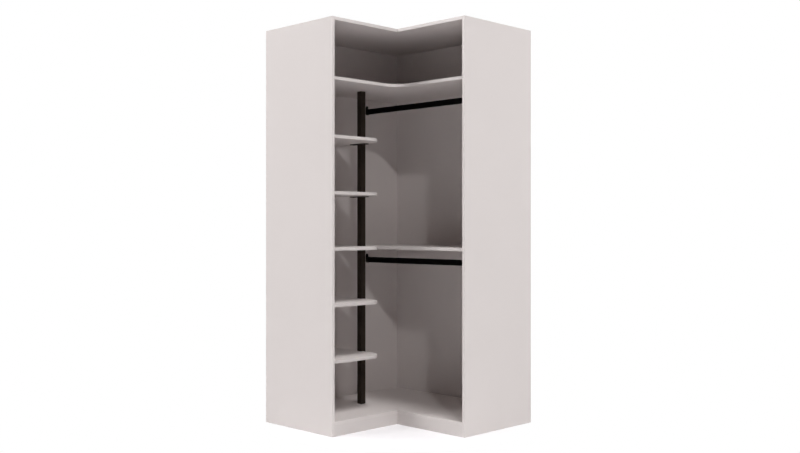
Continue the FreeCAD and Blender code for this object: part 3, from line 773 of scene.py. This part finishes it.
def pin_spot(points):
    """Where a pin leaves its board, the way its tongue points, and its sizes."""
    low, high = box_of(points)
    size = high - low
    axis = max(range(2), key=lambda number: size[number])
    across = 1 - axis
    middle = (low + high) / 2
    side_limit = size[across] / 2 - LEVEL_MARGIN
    reach = [point[axis] for point in points if abs(point[across] - middle[across]) > side_limit]
    sign = 1.0 if sum(reach) / len(reach) > middle[axis] else -1.0
    place = middle.copy()
    place[axis] = min(reach) if sign > 0 else max(reach)
    stem = [point for point in points if (point[axis] - place[axis]) * sign < -LEVEL_MARGIN]
    stem_low, stem_high = box_of(stem)
    stem_radius = (stem_high[across] - stem_low[across]) / 2
    tongue_length = max(reach) - min(reach)
    sizes = (stem_radius, high[axis] - low[axis] - tongue_length, tongue_length,
             high[across] - low[across], high.z - low.z)
    way = along(axis, sign)
    return (place, way, UP.cross(way)), dict(zip(PIN_SIZES, sizes))


for node_name in ("left_shelf_pins", "right_shelf_pins"):
    found = [pin_spot(points) for points in solids_of(node_name)]
    add_fittings(node_name, pin_tree, zinc_finish, found)

# %% [markdown]
# ## Post
# The post is a square steel tube with rounded arrises, as rolled tube has. Two rounded squares, one in
# the other, are filled as a ring and raised to the post's length.

# %% Post
POST_SIZES = ("Side", "Wall", "Outer round", "Length")
POST_WALL = 0.002
POST_ROUND = 0.001
INNER_ROUND_SHARE = 0.5

post_tree, given, made = new_shape_tree("square_tube", POST_SIZES)
side, wall, outer_round, length = [given.outputs[size] for size in POST_SIZES]
inner_side = maths(post_tree, "SUBTRACT", side, maths(post_tree, "MULTIPLY", wall, 2.0))
inner_round = maths(post_tree, "MULTIPLY", outer_round, INNER_ROUND_SHARE)
rings = add_node(post_tree, "GeometryNodeJoinGeometry")
for width, radius in ((side, outer_round), (inner_side, inner_round)):
    post_tree.links.new(rounded_outline(post_tree, width, width, radius), rings.inputs["Geometry"])
tube = raised_outline(post_tree, rings.outputs["Geometry"], "TRIANGLES", length)
post_low, post_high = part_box("post")
post_spot = ((post_low.x + post_high.x) / 2, (post_low.y + post_high.y) / 2, post_low.z)
end_tree(post_tree, moved(post_tree, tube, post_spot), given, made)
post_lengths = (post_high.x - post_low.x, POST_WALL, POST_ROUND, post_high.z - post_low.z)
post_sizes = dict(zip(POST_SIZES, post_lengths))
post = run_tree("square_post", post_tree, bpy.data.meshes.new("square_post"), post_finish, post_sizes)
keep_piece(post, slot_of["post"], "post")
tube_low, tube_high = box_of([vertex.co for vertex in post.data.vertices])
print("post tube", [round(extent, 4) for extent in tube_high - tube_low])

# %% [markdown]
# ## Bands on the edges
# A band follows the front edge of a board, round its corners and away from the post. Each path is a
# line of points with a rounding of its own; the tree rounds the corners, lays a thin strip along the
# path and keeps the strip square to the board. Half the strip's thickness is in the board.

# %% Edge band tree
BAND_SIZES = ("Band width", "Band thickness")
BAND_ROUND_STEPS = 16

band_tree, given, made = new_shape_tree("edge_band", BAND_SIZES)
path = add_node(band_tree, "GeometryNodeMeshToCurve", Mesh=given.outputs["Geometry"])
rounding = add_node(band_tree, "GeometryNodeInputNamedAttribute", {"data_type": "FLOAT"}, Name="rounding")
bent = add_node(band_tree, "GeometryNodeFilletCurve", {"mode": "POLY"}, Curve=path.outputs["Curve"],
                Count=BAND_ROUND_STEPS, Radius=rounding.outputs["Attribute"])
across = add_node(band_tree, "GeometryNodeInputNamedAttribute", {"data_type": "FLOAT_VECTOR"}, Name="across")
held = add_node(band_tree, "GeometryNodeSetCurveNormal", {"mode": "FREE"}, Curve=bent.outputs["Curve"],
                Normal=across.outputs["Attribute"])
strip = add_node(band_tree, "GeometryNodeCurvePrimitiveQuadrilateral", Width=given.outputs["Band width"],
                 Height=given.outputs["Band thickness"])
laid = add_node(band_tree, "GeometryNodeCurveToMesh", Curve=held.outputs["Curve"],
                Profile_Curve=strip.outputs["Curve"], Fill_Caps=True)
end_tree(band_tree, laid.outputs["Mesh"], given, made)
print("band tree:", len(band_tree.nodes), "nodes")

# %% Paths of the bands
LEFT_SHELF_ROUND = 0.115
NOTCH_GAP = 0.0006
BAND_END = 0.0004
NO_ROUND = 0.0

left_side_low, left_side_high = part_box("left_side_panel")
right_side_low, right_side_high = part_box("right_side_panel")
left_end = left_side_high.y + BAND_END
right_end = right_side_low.x - BAND_END


def level_of(name):
    """The height of a lying board's middle."""
    low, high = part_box(name)
    return (low.z + high.z) / 2


def shelf_paths(name):
    """The two runs of a left shelf's band, on either side of the post."""
    low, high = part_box(name)
    z = level_of(name)
    notch_right = (post_high.x + NOTCH_GAP, high.y, z)
    notch_left = (post_low.x - NOTCH_GAP, high.y, z)
    front = [(high.x, low.y + BAND_END, z), (high.x, high.y, z), notch_right]
    return [(front, LEFT_SHELF_ROUND, UP), ([notch_left, (low.x + BAND_END, high.y, z)], NO_ROUND, UP)]


def corner_paths(name):
    """The two straight runs that meet in the inner corner of the top or the bottom panel."""
    z = level_of(name)
    front_x = left_side_high.x
    front_y = right_side_low.y
    left_run = [(front_x, left_end, z), (front_x, front_y, z)]
    right_run = [(front_x, front_y, z), (right_end, front_y, z)]
    return [(left_run, NO_ROUND, UP), (right_run, NO_ROUND, UP)]


def upright_path(low, high, axis, front):
    """The run up the front edge of a side panel; the axis is the one across its thickness."""
    place = (low + high) / 2
    place[1 - axis] = front
    run = [(place.x, place.y, low.z + BAND_END), (place.x, place.y, high.z - BAND_END)]
    return (run, NO_ROUND, along(axis))


def path_mesh(name, paths):
    """All runs as lines of points in one mesh, with their roundings and the way across the board."""
    points = []
    edges = []
    roundings = []
    ways = []
    for run, rounding, way in paths:
        start = len(points)
        points += run
        edges += [(start + step, start + step + 1) for step in range(len(run) - 1)]
        roundings += [rounding] * len(run)
        ways += [way] * len(run)
    mesh = bpy.data.meshes.new(name)
    mesh.from_pydata(points, edges, [])
    rounding_row = mesh.attributes.new("rounding", "FLOAT", "POINT")
    way_row = mesh.attributes.new("across", "FLOAT_VECTOR", "POINT")
    for index in range(len(points)):
        rounding_row.data[index].value = roundings[index]
        way_row.data[index].vector = ways[index]
    return mesh


# %% Edge bands
LEFT_SHELVES = 5
UPPER_SHELF_ROUND = 0.105
UPPER_SHELF_DEPTH = 0.515
BAND_WIDTH = 0.0158
BAND_THICKNESS = 0.0006

paths = []
for number in range(1, LEFT_SHELVES + 1):
    paths += shelf_paths(f"left_shelf_{number}")
for name in ("top_panel", "bottom_panel"):
    paths += corner_paths(name)
upper_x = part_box("left_back_panel")[1].x + UPPER_SHELF_DEPTH
upper_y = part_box("right_back_panel")[0].y - UPPER_SHELF_DEPTH
upper_z = level_of("upper_shelf")
upper_run = [(upper_x, left_end, upper_z), (upper_x, upper_y, upper_z), (right_end, upper_y, upper_z)]
paths.append((upper_run, UPPER_SHELF_ROUND, UP))
shelf_low, shelf_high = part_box("right_shelf")
shelf_z = level_of("right_shelf")
shelf_run = [(shelf_low.x + BAND_END, shelf_low.y, shelf_z), (right_end, shelf_low.y, shelf_z)]
paths.append((shelf_run, NO_ROUND, UP))
paths.append(upright_path(left_side_low, left_side_high, 1, left_side_high.x))
paths.append(upright_path(right_side_low, right_side_high, 0, right_side_low.y))
band_sizes = dict(zip(BAND_SIZES, (BAND_WIDTH, BAND_THICKNESS)))
bands = run_tree("edge_bands", band_tree, path_mesh("edge_bands", paths), band_finish, band_sizes)
keep_piece(bands, "coated_board")
band_low, band_high = box_of([vertex.co for vertex in bands.data.vertices])
print("bands from", [round(place, 4) for place in band_low], "to", [round(place, 4) for place in band_high])

# %% [markdown]
# ## Stage
# A pale floor carries the shadow, and a white world stands behind it. What the camera sees of them is
# nearly white whatever the lamps do, through the light path node, so no more light is needed on the
# wardrobe to make the background white. Further out the floor fades into that white, so no horizon
# shows. Metal sees the same white surroundings.

# %% Floor
WHITE = (1, 1, 1, 1)
FLOOR_REACH = 60
FLOOR_COLOUR = (0.94, 0.94, 0.95, 1)
FLOOR_SEEN_COLOUR = (0.80, 0.78, 0.80, 1)
FLOOR_GLOW = 0.22
FADE_START = 0.46
FADE_END = 0.75


def seen_directly(tree):
    """One for rays from the camera, also by way of a mirror or a pane."""
    path = add_node(tree, "ShaderNodeLightPath").outputs
    mirrored = maths(tree, "MAXIMUM", path["Is Glossy Ray"], path["Is Transmission Ray"])
    return maths(tree, "MAXIMUM", path["Is Camera Ray"], mirrored)


def mixed_shaders(tree, share, first, second):
    """A mix of two surfaces; the share is that of the second."""
    node = add_node(tree, "ShaderNodeMixShader", Fac=share)
    fill_all(tree, node.inputs[1:], (first, second))
    return node.outputs["Shader"]


floor_mesh = bpy.data.meshes.new("floor")
corners = [(x * FLOOR_REACH, y * FLOOR_REACH, 0) for x, y in ((-1, -1), (1, -1), (1, 1), (-1, 1))]
floor_mesh.from_pydata(corners, [], [(0, 1, 2, 3)])
floor = bpy.data.objects.new("floor", floor_mesh)
scene.collection.objects.link(floor)
floor_finish, tree, output = new_material("floor")
matt = add_node(tree, "ShaderNodeBsdfDiffuse", Color=FLOOR_COLOUR)
shade = add_node(tree, "ShaderNodeBsdfDiffuse", Color=FLOOR_SEEN_COLOUR)
glow = add_node(tree, "ShaderNodeEmission", Color=WHITE, Strength=FLOOR_GLOW)
near = add_node(tree, "ShaderNodeAddShader")
fill_all(tree, near.inputs, (shade.outputs["BSDF"], glow.outputs["Emission"]))
far = add_node(tree, "ShaderNodeEmission", Color=WHITE, Strength=1.0)
place = add_node(tree, "ShaderNodeTexCoord").outputs["Object"]
reach = add_node(tree, "ShaderNodeVectorMath", {"operation": "LENGTH"})
fill(tree, reach.inputs[0], place)
fade = add_node(tree, "ShaderNodeMapRange", {"interpolation_type": "SMOOTHSTEP"},
                Value=reach.outputs["Value"], From_Min=FADE_START, From_Max=FADE_END)
shown = mixed_shaders(tree, fade.outputs["Result"], near.outputs["Shader"], far.outputs["Emission"])
either = mixed_shaders(tree, seen_directly(tree), matt.outputs["BSDF"], shown)
tree.links.new(either, output.inputs["Surface"])
floor_mesh.materials.append(floor_finish)

# %% World
WORLD_FILL = 0.015

world = bpy.data.worlds.new("studio")
world.use_nodes = True
scene.world = world
tree = world.node_tree
backdrop = tree.nodes["Background"]
backdrop.inputs["Color"].default_value = WHITE
strength = mixed(tree, "FLOAT", seen_directly(tree), WORLD_FILL, 1.0)
tree.links.new(strength, backdrop.inputs["Strength"])
scene.view_settings.view_transform = "Standard"
print("floor and world ready")

# %% [markdown]
# ## Lamps
# Six lamps make a plain studio. Two large panels on the left and three on the right light the outer
# faces evenly; the high ones also reach the front edges without reaching far in. A smaller, distant
# lamp to the right of the camera draws the soft shadows of the shelves on the back panels. The steep
# lamps are held back so that the top, which faces them, stays below white. Each lamp is placed by its
# turn from the camera's axis and its height angle, and aims at the middle.

# %% Lamps
AIM = Vector((0, 0, 1.1))
LAMPS = {
    # name: (turn from the camera in degrees, height angle in degrees, distance, diameter, watts)
    "left_panel": (-65, 30, 12, 4.0, 490),
    "far_left_panel": (-90, 30, 12, 4.0, 335),
    "right_panel": (35, 55, 12, 4.0, 240),
    "high_right_panel": (35, 68, 12, 4.0, 700),
    "far_right_panel": (90, 5, 12, 4.0, 315),
    "shadow_lamp": (11, 30, 15, 0.7, 325),
}


def add_lamp(name, turn, height_angle, distance, diameter, watts):
    """A round panel lamp that aims at the middle of the wardrobe."""
    heading = math.radians(CAMERA_TURN + turn)
    rise = math.radians(height_angle)
    level = math.cos(rise)
    way = Vector((math.sin(heading) * level, -math.cos(heading) * level, math.sin(rise)))
    data = bpy.data.lights.new(name, "AREA")
    data.shape = "DISK"
    data.size = diameter
    data.energy = watts
    lamp = bpy.data.objects.new(name, data)
    lamp.location = AIM + way * distance
    lamp.rotation_euler = (-way).to_track_quat("-Z", "Y").to_euler()
    scene.collection.objects.link(lamp)


for name, settings in LAMPS.items():
    add_lamp(name, *settings)
print(len(LAMPS), "lamps")
